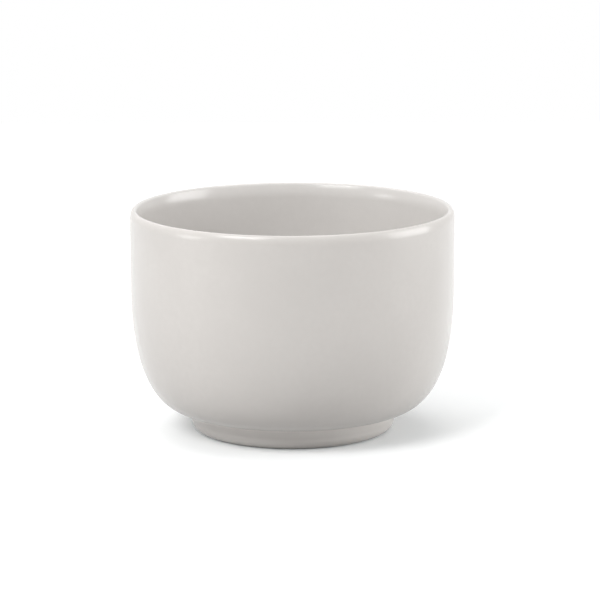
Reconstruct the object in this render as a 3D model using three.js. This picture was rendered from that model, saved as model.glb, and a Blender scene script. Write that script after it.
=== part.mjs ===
// A round stoneware bowl that stands on a foot ring.
// The clay body and the clay foot ring meet at a flat seat under the floor, and three coats of glaze
// cover them: one inside, one outside and one in the recess under the foot.
// Millimetres, +Z up. The origin is the centre of the circle on which the foot ring stands.

import * as THREE from "three";

// Body, measured over the glaze
const RIM_RADIUS = 60;
const STRAIGHT_HEIGHT = 26; // upright part of the wall, with the lip
const ROUND_HEIGHT = 49; // part in which the wall rounds in to the foot
const ROUND_POWER = 2.45; // 2 would be an ellipse, and more is squarer
const WALL = 3.4;
const FLOOR = 5;
const FLOOR_FLAT_RADIUS = 30; // level middle of the floor

// Lip: a full outer shoulder, a small round inner edge, and a slope that eases into the upright inner wall
const LIP_OUTER_HEIGHT = 3.5;
const LIP_CLAY_EDGE = 0.8; // radius of the clay's inner edge, under the glaze
const LIP_SLOPE = 20; // degrees that the slope leans just under that edge
const LIP_EASE_RADIUS = 14; // how gently the slope comes upright

// Foot ring
const FOOT_RADIUS = 37.7; // over the glaze
const FOOT_HEIGHT = 8; // table to the underside of the glaze
const FOOT_FLAT = 2; // width of the bare face that the bowl stands on
const FOOT_OUTER_EDGE = 3.5; // rounding outside that face, over the glaze
const FOOT_INNER_EDGE = 1.2; // rounding inside that face

// Glaze
const GLAZE = 0.4;
const BARE_ANGLE = 30; // degrees of the foot's outer rounding that stay bare, next to the face
const BARE_BAND = 0.3; // clay left bare above the foot's inner rounding
const POOL = 1.2; // radius of the glaze that gathers in the corners at the foot

// Fineness of the turned surfaces
const SEGMENTS = 48;
const ROUND_STEPS = 12;
const LIP_STEPS = 5;
const EDGE_STEPS = 3;

// Places that several pieces share
const ROUND_START = FOOT_HEIGHT + ROUND_HEIGHT;
const HEIGHT = ROUND_START + STRAIGHT_HEIGHT;
const INSIDE_RADIUS = RIM_RADIUS - WALL;
const LIP_EDGE = LIP_CLAY_EDGE + GLAZE;
const SLOPE_RUN = Math.cos(THREE.MathUtils.degToRad(LIP_SLOPE));
const SLOPE_RISE = Math.sin(THREE.MathUtils.degToRad(LIP_SLOPE));
const CREST_RADIUS = INSIDE_RADIUS + LIP_EASE_RADIUS * (1 - SLOPE_RUN) + LIP_EDGE * SLOPE_RUN;
const EASE_LEVEL = HEIGHT - LIP_EDGE * (1 - SLOPE_RISE) - LIP_EASE_RADIUS * SLOPE_RISE; // upright below this
const FLOOR_LEVEL = FOOT_HEIGHT + FLOOR;
const SEAT_LEVEL = FOOT_HEIGHT + GLAZE; // where the foot ring joins the body
const RING_OUTER_RADIUS = FOOT_RADIUS - GLAZE;
const FACE_RADIUS = FOOT_RADIUS - FOOT_OUTER_EDGE; // outer edge of the face
const RING_INNER_RADIUS = FACE_RADIUS - FOOT_FLAT - FOOT_INNER_EDGE;
const BARE_STRETCH = [-90, BARE_ANGLE - 90]; // degrees on the foot's outer rounding
const COATED_STRETCH = [BARE_ANGLE - 90, 0];
const RECESS_RADIUS = RING_INNER_RADIUS - GLAZE;
const RECESS_GLAZE_LINE = FOOT_INNER_EDGE + BARE_BAND; // height at which the coat in the recess stops

const CLAY_FINISH = { color: 0xbdb7b0, roughness: 0.9, metalness: 0 };
const SATIN_FINISH = { color: 0xccc8c5, roughness: 0.35, metalness: 0 };
const GLOSS_FINISH = { color: 0xccc8c5, roughness: 0.3, metalness: 0 };

const at = (radius, height) => new THREE.Vector2(radius, height);

// Points of a round stretch about a centre, with its own reach outwards and upwards.
// The angles are in degrees: 0 points outwards and 90 up. A power above 2 makes it squarer than an ellipse.
function round(centre, reach, [from, to], steps, power = 2) {
  const shape = (value) => Math.sign(value) * Math.abs(value) ** (2 / power);
  const points = [];
  for (let step = 0; step <= steps; step += 1) {
    const angle = THREE.MathUtils.degToRad(THREE.MathUtils.lerp(from, to, step / steps));
    const offset = at(shape(Math.cos(angle)), shape(Math.sin(angle)));
    points.push(offset.multiply(reach).add(centre));
  }
  return points;
}

// The outside from the foot's corner up to the crest of the lip, at a depth under the finished surface.
function outside(depth) {
  const belly = at(RIM_RADIUS - FOOT_RADIUS, ROUND_HEIGHT - depth);
  const shoulder = at(RIM_RADIUS - CREST_RADIUS - depth, LIP_OUTER_HEIGHT - depth);
  return [
    ...round(at(FOOT_RADIUS - depth, ROUND_START), belly, [-90, 0], ROUND_STEPS, ROUND_POWER),
    ...round(at(CREST_RADIUS, HEIGHT - LIP_OUTER_HEIGHT), shoulder, [0, 90], LIP_STEPS),
  ];
}

// The inside from the crest of the lip to the middle of the floor, at a depth under the finished surface.
function inside(depth) {
  const edge = at(LIP_EDGE - depth, LIP_EDGE - depth);
  const ease = at(LIP_EASE_RADIUS - depth, LIP_EASE_RADIUS - depth);
  const hollow = at(INSIDE_RADIUS - FLOOR_FLAT_RADIUS + depth, ROUND_START - FLOOR_LEVEL + depth);
  const easeCentre = at(INSIDE_RADIUS + LIP_EASE_RADIUS, EASE_LEVEL);
  const slopeTop = 180 - LIP_SLOPE;
  return [
    ...round(at(CREST_RADIUS, HEIGHT - LIP_EDGE), edge, [90, slopeTop], EDGE_STEPS),
    ...round(easeCentre, ease, [slopeTop, 180], EDGE_STEPS).slice(1), // the edge ends where the slope starts
    ...round(at(FLOOR_FLAT_RADIUS, ROUND_START), hollow, [0, -90], ROUND_STEPS, ROUND_POWER),
    at(0, FLOOR_LEVEL - depth),
  ];
}

// A stretch of the foot's outer rounding, at a depth under the finished surface. The glaze there thins out
// towards the face.
function footEdge(depth, stretch) {
  const reach = at(FOOT_OUTER_EDGE - depth, FOOT_OUTER_EDGE);
  return round(at(FACE_RADIUS, FOOT_OUTER_EDGE), reach, stretch, EDGE_STEPS);
}

// The body's outline runs along its underside, up the outside, over the lip and down the inside.
function bodyOutline() {
  return [
    at(0, SEAT_LEVEL),
    at(RING_INNER_RADIUS, SEAT_LEVEL),
    ...outside(GLAZE),
    ...inside(GLAZE).slice(1), // the crest is already there
  ];
}

// The ring's section: a flat face to stand on between two rounded edges, and a flat top at the seat.
function footOutline() {
  const innerEdge = at(FOOT_INNER_EDGE, FOOT_INNER_EDGE);
  const top = at(RING_INNER_RADIUS, SEAT_LEVEL);
  return [
    top,
    ...round(at(RING_INNER_RADIUS + FOOT_INNER_EDGE, FOOT_INNER_EDGE), innerEdge, [180, 270], EDGE_STEPS),
    ...footEdge(GLAZE, BARE_STRETCH),
    ...footEdge(GLAZE, COATED_STRETCH).slice(1),
    at(RING_OUTER_RADIUS, SEAT_LEVEL),
    top,
  ];
}

function innerGlazeOutline() {
  return [...inside(GLAZE).reverse(), ...inside(0)];
}

// The outer coat starts on the foot's rounding and fills the corner between foot and body.
function outerGlazeOutline() {
  const upFoot = footEdge(0, COATED_STRETCH);
  const downFoot = footEdge(GLAZE, COATED_STRETCH).reverse();
  const corner = round(at(FOOT_RADIUS + POOL, FOOT_HEIGHT - POOL), at(POOL, POOL), [180, 90], EDGE_STEPS);
  const aboveCorner = outside(0).filter((place) => place.x > FOOT_RADIUS + POOL);
  return [...upFoot, ...corner, ...aboveCorner, ...outside(GLAZE).reverse(), ...downFoot, upFoot[0]];
}

// The recess coat covers the underside and runs down the ring's inner side to a rounded edge.
function recessGlazeOutline() {
  return [
    at(0, FOOT_HEIGHT),
    ...round(at(RECESS_RADIUS - POOL, FOOT_HEIGHT - POOL), at(POOL, POOL), [90, 0], EDGE_STEPS),
    ...round(at(RING_INNER_RADIUS, RECESS_GLAZE_LINE + GLAZE), at(GLAZE, GLAZE), [180, 270], EDGE_STEPS),
    at(RING_INNER_RADIUS, SEAT_LEVEL),
    at(0, SEAT_LEVEL),
  ];
}

// Turns an outline about the bowl's axis. LatheGeometry turns about Y, which then becomes Z.
function turned(name, outline, finish) {
  const geometry = new THREE.LatheGeometry(outline, SEGMENTS).rotateX(Math.PI / 2);
  const mesh = new THREE.Mesh(geometry, new THREE.MeshStandardMaterial(finish));
  mesh.name = name;
  return mesh;
}

const bowl = new THREE.Group();
bowl.add(
  turned("stoneware_body", bodyOutline(), CLAY_FINISH),
  turned("foot_ring", footOutline(), CLAY_FINISH),
  turned("inner_glaze", innerGlazeOutline(), GLOSS_FINISH),
  turned("outer_glaze", outerGlazeOutline(), SATIN_FINISH),
  turned("recess_glaze", recessGlazeOutline(), SATIN_FINISH),
);

export default bowl;
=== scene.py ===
# A round stoneware bowl in a warm grey glaze, standing on its foot ring on a white floor.
# Metres, +Z up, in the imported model's frame.

import math

import bpy
from mathutils import Matrix, Vector


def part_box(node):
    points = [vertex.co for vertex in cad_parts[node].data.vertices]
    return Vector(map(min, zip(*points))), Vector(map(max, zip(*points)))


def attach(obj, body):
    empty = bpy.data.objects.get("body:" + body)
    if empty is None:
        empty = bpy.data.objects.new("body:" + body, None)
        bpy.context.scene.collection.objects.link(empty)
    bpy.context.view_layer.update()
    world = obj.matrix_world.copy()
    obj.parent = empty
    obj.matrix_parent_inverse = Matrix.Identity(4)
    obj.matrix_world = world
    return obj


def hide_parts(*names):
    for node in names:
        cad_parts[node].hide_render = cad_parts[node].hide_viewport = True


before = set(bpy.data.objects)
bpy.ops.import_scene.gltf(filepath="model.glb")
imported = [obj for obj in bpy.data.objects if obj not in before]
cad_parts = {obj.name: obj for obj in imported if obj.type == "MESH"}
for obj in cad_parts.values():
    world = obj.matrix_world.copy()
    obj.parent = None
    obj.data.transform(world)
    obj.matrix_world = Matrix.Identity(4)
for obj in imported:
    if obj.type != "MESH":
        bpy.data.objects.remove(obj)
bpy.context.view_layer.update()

MM = 0.001

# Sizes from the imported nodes
outer_low, outer_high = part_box("outer_glaze")
inner_low, inner_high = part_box("inner_glaze")
body_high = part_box("stoneware_body")[1]
ring_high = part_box("foot_ring")[1]
recess_low, recess_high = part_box("recess_glaze")

RIM_RADIUS = outer_high.x
HEIGHT = outer_high.z
OUTER_GLAZE_LINE = outer_low.z  # where the outer coat stops on the foot
GLAZE = RIM_RADIUS - body_high.x
CREST_RADIUS = inner_high.x
FLOOR_LEVEL = inner_low.z + GLAZE
RING_OUTER_RADIUS = ring_high.x
RING_INNER_RADIUS = recess_high.x
SEAT_LEVEL = ring_high.z
RECESS_GLAZE_LINE = recess_low.z

# Sizes that the nodes' boxes don't give
STRAIGHT_HEIGHT = 26 * MM
WALL = 3.4 * MM
FLOOR_FLAT_RADIUS = 30 * MM
LIP_OUTER_HEIGHT = 3.5 * MM
LIP_EDGE = 1.2 * MM  # radius of the lip's inner edge
LIP_SLOPE = 20  # degrees that the slope under that edge leans
LIP_EASE_RADIUS = 14 * MM  # how gently the slope comes upright
FOOT_OUTER_EDGE = 3.5 * MM
FOOT_INNER_EDGE = 1.2 * MM
POOL = 1.2 * MM  # radius of the glaze that gathers in the corners at the foot
ROUND_POWER = 2.45  # 2 would be an ellipse, and more is squarer
LINE_WANDER = 0.12 * MM  # how far a wiped glaze line strays up and down
LINE_REACH = 2 * MM  # height over which the coat follows its wandering edge
LINE_WAVES = [(0.5, 3, 0.4), (0.3, 7, 1.9), (0.2, 17, 0.0)]  # share, waves in a turn and start of each

FOOT_RADIUS = RING_OUTER_RADIUS + GLAZE
FOOT_HEIGHT = SEAT_LEVEL - GLAZE
RECESS_RADIUS = RING_INNER_RADIUS - GLAZE
ROUND_START = HEIGHT - STRAIGHT_HEIGHT
INSIDE_RADIUS = RIM_RADIUS - WALL
SLOPE_RISE = math.sin(math.radians(LIP_SLOPE))
EASE_LEVEL = HEIGHT - LIP_EDGE * (1 - SLOPE_RISE) - LIP_EASE_RADIUS * SLOPE_RISE
FACE_RADIUS = FOOT_RADIUS - FOOT_OUTER_EDGE

# Fineness of the turned surfaces
SEGMENTS = 160
ROUND_STEPS = 40
LIP_STEPS = 16
EDGE_STEPS = 8
FOOT_STEPS = 16
CREST_STRIP = 0.5  # degrees: a narrow strip that lies level at the crest, where the two coats meet
SHARP_ANGLE = 50  # degrees
ON_AXIS = 1e-9  # a smaller radius counts as a point on the axis

# Camera, fitted to the bowl's outline
PICTURE_WIDTH = 600  # pixels
FOCAL_LENGTH = 3097.4  # pixels
SENSOR_WIDTH = 36  # millimetres, as Blender counts it
CAMERA_DISTANCE = 1.12825
CAMERA_HEIGHT = 0.27596
CAMERA_PITCH = 0.19913  # radians down
CAMERA_YAW = 0.00241  # radians
CAMERA_ROLL = -0.00282  # radians

# Noise in the finishes
NOISE_RANGE = (0.3, 0.7)  # most of it lies between these
GRIT_RANGE = (0.55, 0.75)  # where it makes dark grains

# Glaze. Colours are as they show on screen, 0 to 255, and colour steps are added to them
OUTSIDE_COLOUR = (203, 199, 195)
INSIDE_COLOUR = (205, 202, 199)
CLOUD_SIZE = 26 * MM
CLOUD_STEP = 2  # lighter and darker
MOTTLE_SIZE = 2.2 * MM
MOTTLE_STEP = -3
MOTTLE_SHARE = 0.5  # how much of its step the mottle reaches
# Painted highlight: the outer coat is paler around the foot's corner. It stands in for the light line
# there and lifts the corner's shade.
PAINTED_HIGHLIGHT_REACH = 3.5 * MM  # how far above and below the foot's corner the outer coat is painted paler, as a painted highlight
PAINTED_HIGHLIGHT_STEP = 27
SATIN_ROUGHNESS = 0.24
GLOSS_ROUGHNESS = 0.22
ROUGHNESS_STEP = 0.03  # rougher and smoother
WAVE_SIZE = 14 * MM
WAVE_DEPTH = 0.04 * MM
SKIN_SIZE = 3 * MM
SKIN_DEPTH = 0.005 * MM
GLAZE_IOR = 1.5

# Bare clay
CLAY_DARK = (184, 178, 171)
CLAY_PALE = (194, 188, 181)
GRIT_COLOUR = (146, 138, 129)
GRIT_SHARE = 0.5  # how much of its colour the grit reaches
CLAY_CLOUD_SIZE = 9 * MM
GRIT_SIZE = 0.7 * MM
GRIT_DEPTH = 0.08 * MM
CLAY_ROUGHNESS = (0.82, 0.96)

# Studio
AMBIENT = 0.58
FLOOR_BOUNCE = 0.46  # colour for the light that the floor throws back at the bowl
FLOOR_SEEN = 0.95  # colour in the picture and in reflections
FLOOR_GLOW = 0.085
GLOW_COLOUR = (0.8, 0.96, 1.0)  # a little cool, which shows only in the shadow
FLOOR_HALF = 0.8
SOFTBOX_DISTANCE = 1.5
# Name, azimuth and elevation in degrees, watts, and size in metres.
# Azimuth 0 is at the camera and 90 to its right.
SOFTBOXES = [
    ("left_softbox", -40, 40, 13.5, 0.7),
    ("low_softbox", -75, 5, 2.5, 0.4),
    ("right_softbox", 90, 9, 16, 1.0),
    ("back_softbox", 205, 64, 9, 1.4),
]


def linear(red, green, blue):
    """A colour as it shows on screen, 0 to 255, in the linear values that shaders take."""
    def channel(value):
        share = value / 255
        return share / 12.92 if share <= 0.04045 else ((share + 0.055) / 1.055) ** 2.4
    return (channel(red), channel(green), channel(blue), 1.0)


# Outlines: points of radius and height
def round_points(centre, reach, start, end, steps, power=2.0):
    """A round stretch about a centre, in degrees: 0 points outwards and 90 up."""
    points = []
    for step in range(steps + 1):
        angle = math.radians(start + (end - start) * step / steps)
        offset = (math.cos(angle), math.sin(angle))
        squared = [math.copysign(abs(value) ** (2 / power), value) for value in offset]
        points.append((centre[0] + reach[0] * squared[0], centre[1] + reach[1] * squared[1]))
    return points


def outside(depth):
    """From the foot's corner up to the crest of the lip, at a depth under the finished surface."""
    belly = (RIM_RADIUS - FOOT_RADIUS, ROUND_START - FOOT_HEIGHT - depth)
    shoulder = (RIM_RADIUS - CREST_RADIUS - depth, LIP_OUTER_HEIGHT - depth)
    lip_centre = (CREST_RADIUS, HEIGHT - LIP_OUTER_HEIGHT)
    return [
        *round_points((FOOT_RADIUS - depth, ROUND_START), belly, -90, 0, ROUND_STEPS, ROUND_POWER),
        *round_points(lip_centre, shoulder, 0, 90 - CREST_STRIP, LIP_STEPS),
        (CREST_RADIUS, HEIGHT - depth),
    ]


def inside(depth):
    """From the crest of the lip to the middle of the floor, at a depth under the finished surface."""
    edge = (LIP_EDGE - depth, LIP_EDGE - depth)
    ease = (LIP_EASE_RADIUS - depth, LIP_EASE_RADIUS - depth)
    hollow = (INSIDE_RADIUS - FLOOR_FLAT_RADIUS + depth, ROUND_START - FLOOR_LEVEL + depth)
    ease_centre = (INSIDE_RADIUS + LIP_EASE_RADIUS, EASE_LEVEL)
    slope_top = 180 - LIP_SLOPE
    return [
        (CREST_RADIUS, HEIGHT - depth),
        *round_points((CREST_RADIUS, HEIGHT - LIP_EDGE), edge, 90 + CREST_STRIP, slope_top, LIP_STEPS),
        *round_points(ease_centre, ease, slope_top, 180, LIP_STEPS)[1:],
        *round_points((FLOOR_FLAT_RADIUS, ROUND_START), hollow, 0, -90, ROUND_STEPS, ROUND_POWER),
        (0, FLOOR_LEVEL - depth),
    ]


def foot_edge(depth, start):
    """The foot's outer rounding, from a start in degrees up to its side. The glaze thins to the face."""
    reach = (FOOT_OUTER_EDGE - depth, FOOT_OUTER_EDGE)
    return round_points((FACE_RADIUS, FOOT_OUTER_EDGE), reach, start, 0, FOOT_STEPS)


def body_outline():
    return [(0, SEAT_LEVEL), (RING_INNER_RADIUS, SEAT_LEVEL), *outside(GLAZE), *inside(GLAZE)[1:]]


def foot_outline():
    edge = (FOOT_INNER_EDGE, FOOT_INNER_EDGE)
    edge_centre = (RING_INNER_RADIUS + FOOT_INNER_EDGE, FOOT_INNER_EDGE)
    return [
        (RING_INNER_RADIUS, SEAT_LEVEL),
        *round_points(edge_centre, edge, 180, 270, EDGE_STEPS),
        *foot_edge(GLAZE, -90),
        (RING_OUTER_RADIUS, SEAT_LEVEL),
    ]


def inner_glaze_outline():
    return [*reversed(inside(GLAZE)), *inside(0)]


def outer_glaze_outline():
    """The coat starts on the foot's rounding and fills the corner between foot and body."""
    start = -math.degrees(math.asin(1 - OUTER_GLAZE_LINE / FOOT_OUTER_EDGE))
    corner = (FOOT_RADIUS + POOL, FOOT_HEIGHT - POOL)
    return [
        *foot_edge(0, start),
        *round_points(corner, (POOL, POOL), 180, 90, EDGE_STEPS),
        *[point for point in outside(0) if point[0] > corner[0]],
        *reversed(outside(GLAZE)),
        *reversed(foot_edge(GLAZE, start)),
    ]


def recess_glaze_outline():
    """The coat covers the underside and runs down the ring's inner side to a rounded edge."""
    bead = (GLAZE, GLAZE)
    corner = (RECESS_RADIUS - POOL, FOOT_HEIGHT - POOL)
    return [
        (0, FOOT_HEIGHT),
        *round_points(corner, (POOL, POOL), 90, 0, EDGE_STEPS),
        *round_points((RING_INNER_RADIUS, RECESS_GLAZE_LINE + GLAZE), bead, 180, 270, EDGE_STEPS),
        (RING_INNER_RADIUS, SEAT_LEVEL),
        (0, SEAT_LEVEL),
    ]


# Meshes
def wander(turn, height, line):
    """How far the wiped edge of a coat strays from its line at this turn, fading out above it."""
    fade = max(0.0, 1 - (height - line) / LINE_REACH)
    stray = sum(share * math.sin(count * turn + start) for share, count, start in LINE_WAVES)
    return LINE_WANDER * fade * stray


def turned(name, outline, closed=False, line=None):
    """Turns an outline about the bowl's axis. A closed one is a ring's section; others end on the axis.

    A coat that was wiped off below a line gets an edge that wanders about it.
    """
    vertices = []
    rings = []
    for radius, height in outline:
        ring = []
        for segment in range(SEGMENTS if radius > ON_AXIS else 1):
            turn = math.tau * segment / SEGMENTS
            level = height + wander(turn, height, line) if line else height
            ring.append(len(vertices))
            vertices.append((radius * math.cos(turn), radius * math.sin(turn), level))
        rings.append(ring)
    following = rings[1:] + rings[:1] if closed else rings[1:]
    faces = []
    for ring, after in zip(rings, following):
        for segment in range(SEGMENTS):
            sides = (segment, (segment + 1) % SEGMENTS)
            corners = [ring[side % len(ring)] for side in sides]
            corners += [after[side % len(after)] for side in reversed(sides)]
            faces.append(list(dict.fromkeys(corners)))  # three corners beside a point on the axis
    mesh = bpy.data.meshes.new(name)
    mesh.from_pydata(vertices, [], faces)
    mesh.shade_smooth()
    mesh.set_sharp_from_angle(angle=math.radians(SHARP_ANGLE))
    piece = bpy.data.objects.new(name, mesh)
    bpy.context.collection.objects.link(piece)
    return piece


# Materials
class Surface:
    """A principled material and the texture nodes that vary it over the object."""

    def __init__(self, name):
        self.material = bpy.data.materials.new(name)
        self.material.use_nodes = True
        self.nodes = self.material.node_tree.nodes
        self.link = self.material.node_tree.links.new
        self.shader = self.nodes["Principled BSDF"]
        self.place = self.nodes.new("ShaderNodeTexCoord").outputs["Object"]

    def noise(self, size, detail, roughness=0.5):
        """Cloudy noise with patches of about this size."""
        node = self.nodes.new("ShaderNodeTexNoise")
        node.inputs["Scale"].default_value = 1 / size
        node.inputs["Detail"].default_value = detail
        node.inputs["Roughness"].default_value = roughness
        self.link(self.place, node.inputs["Vector"])
        return node.outputs["Fac"]

    def gap(self, level):
        """How far a place lies above or below a level."""
        split = self.nodes.new("ShaderNodeSeparateXYZ")
        self.link(self.place, split.inputs["Vector"])
        value = split.outputs["Z"]
        for operation, other in (("SUBTRACT", level), ("ABSOLUTE", 0)):
            node = self.nodes.new("ShaderNodeMath")
            node.operation = operation
            node.inputs[1].default_value = other
            self.link(value, node.inputs[0])
            value = node.outputs[0]
        return value

    def spread(self, value, low, high, source=NOISE_RANGE):
        """A value taken from its source range to the one from low to high, and no further."""
        node = self.nodes.new("ShaderNodeMapRange")
        self.link(value, node.inputs["Value"])
        node.inputs["From Min"].default_value = source[0]
        node.inputs["From Max"].default_value = source[1]
        node.inputs["To Min"].default_value = low
        node.inputs["To Max"].default_value = high
        return node.outputs["Result"]

    def mix(self, share, first, second):
        """A colour between two others, which are colours or outputs."""
        node = self.nodes.new("ShaderNodeMix")
        node.data_type = "RGBA"
        self.link(share, node.inputs["Factor"])
        sockets = [socket for socket in node.inputs if socket.type == "RGBA"]
        for socket, value in zip(sockets, (first, second)):
            if isinstance(value, bpy.types.NodeSocket):
                self.link(value, socket)
            else:
                socket.default_value = value
        return next(socket for socket in node.outputs if socket.type == "RGBA")

    def bump(self, value, depth, under=None):
        """Relief of this depth, over what another bump gives."""
        node = self.nodes.new("ShaderNodeBump")
        node.inputs["Distance"].default_value = depth
        self.link(value, node.inputs["Height"])
        if under:
            self.link(under, node.inputs["Normal"])
        return node.outputs["Normal"]


def glaze_material(name, colour, roughness, painted_highlight_level=None):
    """Opaque glaze: faint clouds of tone, and a skin that is not quite even.

    With a level, the glaze is painted paler near that height: a painted highlight that also lifts the
    shade there.
    """
    def shade(step):
        return linear(*(channel + step for channel in colour))

    surface = Surface(name)
    clouds = surface.noise(CLOUD_SIZE, detail=3)
    mottle = surface.noise(MOTTLE_SIZE, detail=3)
    tone = surface.mix(surface.spread(clouds, 0, 1), shade(-CLOUD_STEP), shade(CLOUD_STEP))
    tone = surface.mix(surface.spread(mottle, 0, MOTTLE_SHARE), tone, shade(MOTTLE_STEP))
    if painted_highlight_level is not None:
        # Painted highlight: paler near the level, in place of light and against the shade there
        highlight_nearness = surface.spread(surface.gap(painted_highlight_level), 1, 0, source=(0, PAINTED_HIGHLIGHT_REACH))
        tone = surface.mix(highlight_nearness, tone, shade(PAINTED_HIGHLIGHT_STEP))
    surface.link(tone, surface.shader.inputs["Base Color"])
    sheen = surface.spread(mottle, roughness - ROUGHNESS_STEP, roughness + ROUGHNESS_STEP)
    surface.link(sheen, surface.shader.inputs["Roughness"])
    waves = surface.bump(surface.noise(WAVE_SIZE, detail=1), WAVE_DEPTH)
    skin = surface.bump(surface.noise(SKIN_SIZE, detail=1), SKIN_DEPTH, under=waves)
    surface.link(skin, surface.shader.inputs["Normal"])
    surface.shader.inputs["IOR"].default_value = GLAZE_IOR
    return surface.material


def clay_material():
    """Bare fired stoneware: grey, matt and gritty."""
    surface = Surface("bare_stoneware")
    clouds = surface.noise(CLAY_CLOUD_SIZE, detail=3)
    grit = surface.noise(GRIT_SIZE, detail=4, roughness=0.65)
    tone = surface.mix(surface.spread(clouds, 0, 1), linear(*CLAY_DARK), linear(*CLAY_PALE))
    grains = surface.spread(grit, 0, GRIT_SHARE, source=GRIT_RANGE)
    tone = surface.mix(grains, tone, linear(*GRIT_COLOUR))
    surface.link(tone, surface.shader.inputs["Base Color"])
    surface.link(surface.spread(grit, *CLAY_ROUGHNESS), surface.shader.inputs["Roughness"])
    surface.link(surface.bump(grit, GRIT_DEPTH), surface.shader.inputs["Normal"])
    return surface.material


# Camera and studio
def make_camera():
    lens = bpy.data.cameras.new("camera")
    lens.sensor_fit = "HORIZONTAL"
    lens.sensor_width = SENSOR_WIDTH
    lens.lens = FOCAL_LENGTH / PICTURE_WIDTH * SENSOR_WIDTH
    camera = bpy.data.objects.new("camera", lens)
    bpy.context.collection.objects.link(camera)
    turn = Matrix.Rotation(-CAMERA_YAW, 4, "Z")
    tilt = Matrix.Rotation(math.pi / 2 - CAMERA_PITCH, 4, "X")
    roll = Matrix.Rotation(CAMERA_ROLL, 4, "Z")
    camera.matrix_world = Matrix.Translation((0, -CAMERA_DISTANCE, CAMERA_HEIGHT)) @ turn @ tilt @ roll
    bpy.context.scene.camera = camera


def set_by_ray(tree, socket, unseen, seen):
    """Gives a socket one value for rays that show a background and another for the rest.

    Camera, glossy and transmission rays show a background.
    """
    path = tree.nodes.new("ShaderNodeLightPath")
    total = path.outputs["Is Camera Ray"]
    for name in ("Is Glossy Ray", "Is Transmission Ray"):
        add = tree.nodes.new("ShaderNodeMath")
        add.operation = "ADD"
        add.use_clamp = True
        tree.links.new(total, add.inputs[0])
        tree.links.new(path.outputs[name], add.inputs[1])
        total = add.outputs[0]
    choice = tree.nodes.new("ShaderNodeMapRange")
    choice.inputs["To Min"].default_value = unseen
    choice.inputs["To Max"].default_value = seen
    tree.links.new(total, choice.inputs["Value"])
    tree.links.new(choice.outputs["Result"], socket)


def make_world():
    """Even light from all round, which shows as white in the picture and in reflections."""
    world = bpy.data.worlds.new("studio")
    world.use_nodes = True
    background = world.node_tree.nodes["Background"]
    background.inputs["Color"].default_value = (1, 1, 1, 1)
    set_by_ray(world.node_tree, background.inputs["Strength"], AMBIENT, 1)
    bpy.context.scene.world = world


def make_floor():
    """A white floor that keeps the shadow and shows as white where no shadow falls."""
    mesh = bpy.data.meshes.new("floor")
    corners = [(-FLOOR_HALF, -FLOOR_HALF, 0), (FLOOR_HALF, -FLOOR_HALF, 0)]
    corners += [(FLOOR_HALF, FLOOR_HALF, 0), (-FLOOR_HALF, FLOOR_HALF, 0)]
    mesh.from_pydata(corners, [], [(0, 1, 2, 3)])
    floor = bpy.data.objects.new("floor", mesh)
    bpy.context.collection.objects.link(floor)
    material = bpy.data.materials.new("white_floor")
    material.use_nodes = True
    shader = material.node_tree.nodes["Principled BSDF"]
    shader.inputs["Roughness"].default_value = 1.0
    shader.inputs["Specular IOR Level"].default_value = 0.0
    shader.inputs["Emission Color"].default_value = (*GLOW_COLOUR, 1)
    set_by_ray(material.node_tree, shader.inputs["Base Color"], FLOOR_BOUNCE, FLOOR_SEEN)
    set_by_ray(material.node_tree, shader.inputs["Emission Strength"], 0, FLOOR_GLOW)
    mesh.materials.append(material)


def make_softbox(name, azimuth, elevation, power, size):
    """A square lamp that faces the bowl."""
    lamp = bpy.data.lights.new(name, "AREA")
    lamp.size = size
    lamp.energy = power
    side = math.radians(azimuth)
    rise = math.radians(elevation)
    towards = Vector((math.sin(side) * math.cos(rise), -math.cos(side) * math.cos(rise), math.sin(rise)))
    light = bpy.data.objects.new(name, lamp)
    light.location = Vector((0, 0, HEIGHT / 2)) + towards * SOFTBOX_DISTANCE
    light.rotation_euler = towards.to_track_quat("Z", "Y").to_euler()
    bpy.context.collection.objects.link(light)


make_camera()
make_world()
make_floor()
for softbox in SOFTBOXES:
    make_softbox(*softbox)

clay = clay_material()
# The outer coat carries a painted highlight, paler about the foot's corner
satin = glaze_material("satin_glaze", OUTSIDE_COLOUR, SATIN_ROUGHNESS, painted_highlight_level=FOOT_HEIGHT)
recess_satin = glaze_material("recess_satin_glaze", OUTSIDE_COLOUR, SATIN_ROUGHNESS)
gloss = glaze_material("gloss_glaze", INSIDE_COLOUR, GLOSS_ROUGHNESS)

clay_body = turned("clay_body", body_outline())
clay_foot = turned("clay_foot", foot_outline(), closed=True)
inside_coat = turned("inside_coat", inner_glaze_outline())
outside_coat = turned("outside_coat", outer_glaze_outline(), closed=True)
recess_coat = turned("recess_coat", recess_glaze_outline(), line=RECESS_GLAZE_LINE)

# Each fine piece with the node that it stands for, its finish and the record's slot
PIECES = [
    (clay_body, "stoneware_body", clay, "stoneware"),
    (clay_foot, "foot_ring", clay, "stoneware"),
    (inside_coat, "inner_glaze", gloss, "glaze_inside"),
    (outside_coat, "outer_glaze", satin, "glaze_outside"),
    (recess_coat, "recess_glaze", recess_satin, "glaze_outside"),
]
for piece, node, material, slot in PIECES:
    piece.data.materials.append(material)
    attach(piece, "root")
    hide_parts(node)

bpy.context.scene.view_settings.view_transform = "Standard"

bpy.context.view_layer.update()
